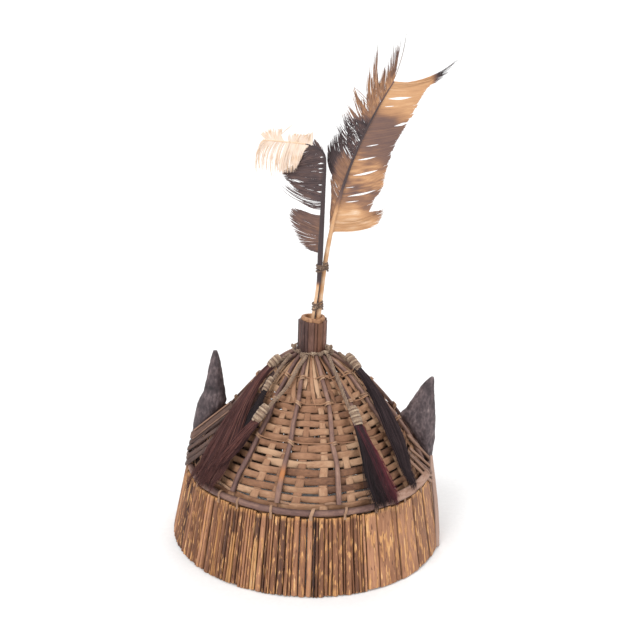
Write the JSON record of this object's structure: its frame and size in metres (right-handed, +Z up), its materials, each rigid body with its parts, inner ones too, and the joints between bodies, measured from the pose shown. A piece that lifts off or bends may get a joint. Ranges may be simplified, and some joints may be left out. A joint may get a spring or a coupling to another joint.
{
  "type": "feathered warrior hat",
  "caption": "Domed basket-woven hat with a flared brim of upright reeds, side horns lashed with cane, hair tassels, and feathers standing in a bamboo tube on top.",
  "frame": {"origin": "on the floor at the middle of the brim's foot", "axes": "+Z up along the crown's axis to the feathers, -Y towards the front of the hat, +X to the hat's left hand side as a viewer in front sees the right"},
  "size_m": [0.2397, 0.2395, 0.4276],
  "materials": {
    "woven_cane": "flat split cane, basket-woven, aged tan-brown, dry and matte",
    "dark_cane": "weathered round cane and splints, dark greyish brown, satin",
    "reed": "split reed stalks, mixed browns and orange-tan, satin",
    "bamboo": "thin bamboo tube with a pale cut rim, satin",
    "twine": "hand-twisted plant-fibre twine, beige, matte",
    "horn": "dry dark horn, rough and scaly, matte",
    "cane_strip": "flat dark cane strip, worn at the edges",
    "red_hair": "reddish-brown dyed animal hair",
    "black_hair": "black animal hair",
    "burgundy_hair": "black animal hair with burgundy ends",
    "banded_feather": "banded tan and brown feather, silky",
    "dark_feather": "blackish feather with a cream broken tip, silky"
  },
  "bodies": {
    "root": {"brim_slats": "reed", "crown_basket": "woven_cane", "rim_hoop": "dark_cane", "crown_rib_00": "dark_cane", "crown_rib_01": "dark_cane", "crown_rib_02": "dark_cane", "crown_rib_03": "dark_cane", "crown_rib_04": "dark_cane", "crown_rib_05": "dark_cane", "crown_rib_06": "dark_cane", "crown_rib_07": "dark_cane", "crown_rib_08": "dark_cane", "crown_rib_09": "dark_cane", "crown_rib_10": "dark_cane", "crown_rib_11": "dark_cane", "crown_rib_12": "dark_cane", "crown_rib_13": "dark_cane", "crown_rib_14": "dark_cane", "binding_ring_upper": "dark_cane", "binding_ring_middle": "dark_cane", "binding_ring_lower": "dark_cane", "plume_tube": "bamboo", "tube_canes": "dark_cane", "neck_cord": "twine", "feather_banded": "banded_feather", "feather_dark": "dark_feather", "feather_tie_lower": "twine", "feather_tie_upper": "twine", "horn_left": "horn", "horn_right": "horn", "horn_lashing_left_0": "cane_strip", "horn_lashing_left_1": "cane_strip", "horn_lashing_left_2": "cane_strip", "horn_lashing_left_3": "cane_strip", "horn_lashing_left_4": "cane_strip", "horn_lashing_right_0": "cane_strip", "horn_lashing_right_1": "cane_strip", "horn_lashing_right_2": "cane_strip", "horn_lashing_right_3": "cane_strip", "horn_lashing_right_4": "cane_strip", "tassel_1_stem": "twine", "tassel_1_wrap": "twine", "tassel_1_hair": "red_hair", "tassel_2_stem": "twine", "tassel_2_wrap": "twine", "tassel_2_hair": "black_hair", "tassel_3_stem": "twine", "tassel_3_wrap": "twine", "tassel_3_hair": "red_hair", "tassel_4_stem": "twine", "tassel_4_wrap": "twine", "tassel_4_hair": "burgundy_hair", "tassel_5_stem": "twine", "tassel_5_wrap": "twine", "tassel_5_hair": "black_hair"}
  },
  "joints": []
}
